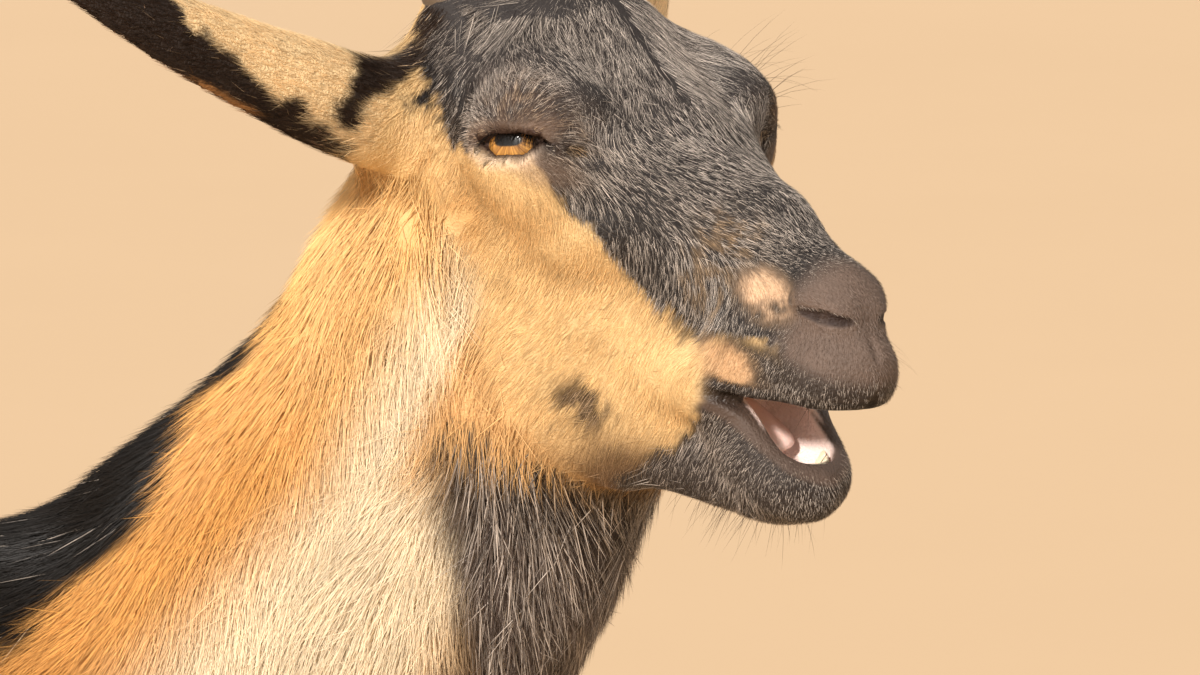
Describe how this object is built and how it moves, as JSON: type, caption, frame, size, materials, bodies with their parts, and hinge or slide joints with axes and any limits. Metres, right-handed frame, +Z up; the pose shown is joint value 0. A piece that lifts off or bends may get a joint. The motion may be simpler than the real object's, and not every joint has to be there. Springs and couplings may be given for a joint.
{
  "type": "goat",
  "caption": "Still life-size model of a standing goat, head turned and mouth open, with short curved horns and a black and tan coat.",
  "frame": {"origin": "on the floor under the middle of the box around the whole model", "axes": "+X the way the body faces, +Y its left, +Z up"},
  "size_m": [0.9986, 0.3124, 0.8977],
  "materials": {
    "coat_black": "black hair, matt with a slight sheen, light grey tips",
    "coat_tan": "golden tan hair, matt",
    "mucosa": "moist pink skin",
    "eye": "clear and wet over an amber iris",
    "horn": "ridged horn, dull",
    "hoof": "dark horn, satin"
  },
  "bodies": {
    "root": {"head": "coat_black", "jaw": "coat_black", "tongue": "mucosa", "eye_left": "eye", "eye_right": "eye", "ear_left": "coat_tan", "ear_right": "coat_tan", "horn_left": "horn", "horn_right": "horn", "neck": "coat_tan", "trunk": "coat_tan", "tail": "coat_black", "leg_front_left": "coat_black", "leg_front_right": "coat_black", "leg_hind_left": "coat_black", "leg_hind_right": "coat_black", "hoof_front_left_outer": "hoof", "hoof_front_left_inner": "hoof", "hoof_front_right_outer": "hoof", "hoof_front_right_inner": "hoof", "hoof_hind_left_outer": "hoof", "hoof_hind_left_inner": "hoof", "hoof_hind_right_outer": "hoof", "hoof_hind_right_inner": "hoof"}
  },
  "joints": []
}
